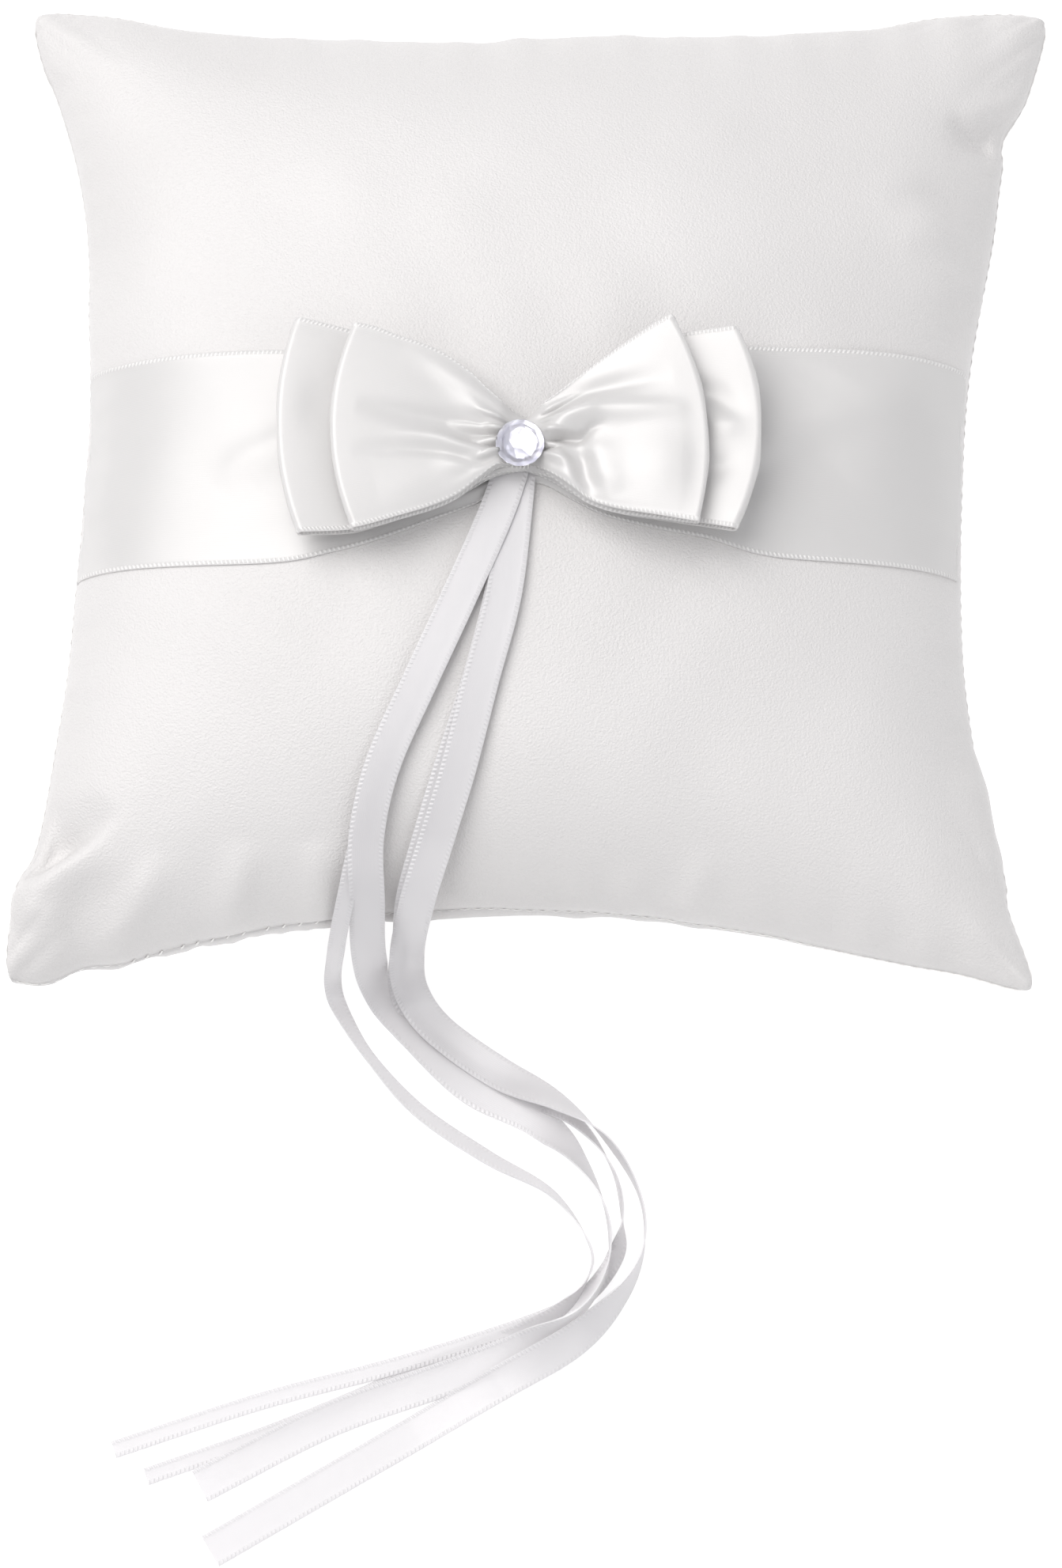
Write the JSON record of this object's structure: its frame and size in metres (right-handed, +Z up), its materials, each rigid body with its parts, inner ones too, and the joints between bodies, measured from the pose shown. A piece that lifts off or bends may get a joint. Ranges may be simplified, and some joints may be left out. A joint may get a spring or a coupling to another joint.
{
  "type": "ring bearer pillow",
  "caption": "Square ivory satin wedding pillow with a wide ribbon band, a layered satin bow, a stone and loose ribbon tails for tying on the rings.",
  "frame": {"origin": "centre of the pillow's outline, on the surface that its back rests on", "axes": "+Z up through the face and the bow, +Y towards the far edge (away from the ribbon tails), +X to the right seen from above"},
  "size_m": [0.1948, 0.2932, 0.0702],
  "materials": {
    "satin_panel": "matte back-crepe satin with a soft sheen",
    "satin_ribbon": "double-faced satin ribbon, glossy along the weft, woven picot selvage",
    "fibrefill": "matte lofted polyester fibre",
    "thread": "spun polyester sewing thread",
    "crystal": "clear faceted glass",
    "foil": "silvered backing",
    "glue": "clear craft glue, slightly yellow"
  },
  "bodies": {
    "root": {"front_panel": "satin_panel", "back_panel": "satin_panel", "fibrefill": "fibrefill", "perimeter_seam_thread": "thread", "closing_stitches": "thread", "band_ribbon": "satin_ribbon", "bow_rear_ribbon": "satin_ribbon", "bow_front_ribbon": "satin_ribbon", "bow_binding_thread": "thread", "tacking_stitches": "thread", "rhinestone": "crystal", "rhinestone_foil": "foil", "glue_dot": "glue", "wide_tail_left": "satin_ribbon", "wide_tail_right": "satin_ribbon", "narrow_tail_left": "satin_ribbon", "narrow_tail_right": "satin_ribbon"}
  },
  "joints": []
}
